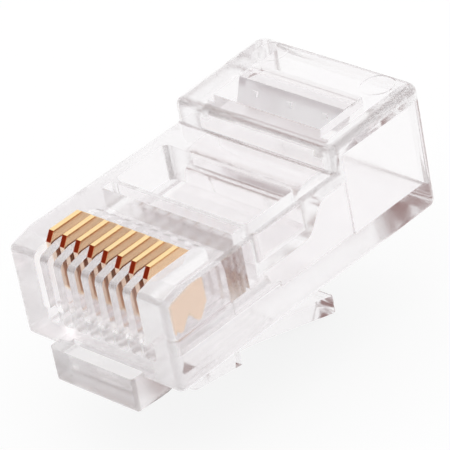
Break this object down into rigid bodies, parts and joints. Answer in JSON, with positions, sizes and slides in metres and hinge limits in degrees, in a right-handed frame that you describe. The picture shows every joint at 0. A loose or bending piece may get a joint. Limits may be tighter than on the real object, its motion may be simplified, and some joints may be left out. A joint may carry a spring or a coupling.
{
  "type": "rj45 modular plug",
  "caption": "Clear moulded modular plug for network cable, with gold-plated blade contacts, a raised collar with a jacket clamp, and a sprung latch lever below.",
  "frame": {"origin": "middle of the mating face's lower edge, on the underside of the body", "axes": "+X across the plug, +Y from the mating face to the cable entry, +Z towards the contacts"},
  "size_m": [0.0116, 0.0215, 0.0131],
  "materials": {
    "clear_plastic": "clear moulded polycarbonate, glossy",
    "gold_plate": "gold-plated phosphor bronze, bright stamped faces"
  },
  "bodies": {
    "housing": {"housing": "clear_plastic"},
    "latch": {"latch": "clear_plastic"},
    "jacket_clamp": {"jacket_clamp": "clear_plastic"},
    "contact_1": {"contact_1": "gold_plate"},
    "contact_2": {"contact_2": "gold_plate"},
    "contact_3": {"contact_3": "gold_plate"},
    "contact_4": {"contact_4": "gold_plate"},
    "contact_5": {"contact_5": "gold_plate"},
    "contact_6": {"contact_6": "gold_plate"},
    "contact_7": {"contact_7": "gold_plate"},
    "contact_8": {"contact_8": "gold_plate"}
  },
  "joints": [
    {"name": "latch_hinge", "type": "hinge", "parent": "housing", "child": "latch", "pos_m": [0, 0.00262, -0.00105], "axis": [1, 0, 0], "range_deg": [0, 15], "stiffness_Nm_per_rad": 0.2},
    {"name": "jacket_clamp_hinge", "type": "hinge", "parent": "housing", "child": "jacket_clamp", "pos_m": [0, 0.01757, 0.00716], "axis": [1, 0, 0], "range_deg": [0, 40]},
    {"name": "contact_1_press", "type": "slide", "parent": "housing", "child": "contact_1", "axis": [0, 0, -1], "range_m": [0, 0.0009]},
    {"name": "contact_2_press", "type": "slide", "parent": "housing", "child": "contact_2", "axis": [0, 0, -1], "range_m": [0, 0.0009]},
    {"name": "contact_3_press", "type": "slide", "parent": "housing", "child": "contact_3", "axis": [0, 0, -1], "range_m": [0, 0.0009]},
    {"name": "contact_4_press", "type": "slide", "parent": "housing", "child": "contact_4", "axis": [0, 0, -1], "range_m": [0, 0.0009]},
    {"name": "contact_5_press", "type": "slide", "parent": "housing", "child": "contact_5", "axis": [0, 0, -1], "range_m": [0, 0.0009]},
    {"name": "contact_6_press", "type": "slide", "parent": "housing", "child": "contact_6", "axis": [0, 0, -1], "range_m": [0, 0.0009]},
    {"name": "contact_7_press", "type": "slide", "parent": "housing", "child": "contact_7", "axis": [0, 0, -1], "range_m": [0, 0.0009]},
    {"name": "contact_8_press", "type": "slide", "parent": "housing", "child": "contact_8", "axis": [0, 0, -1], "range_m": [0, 0.0009]}
  ]
}
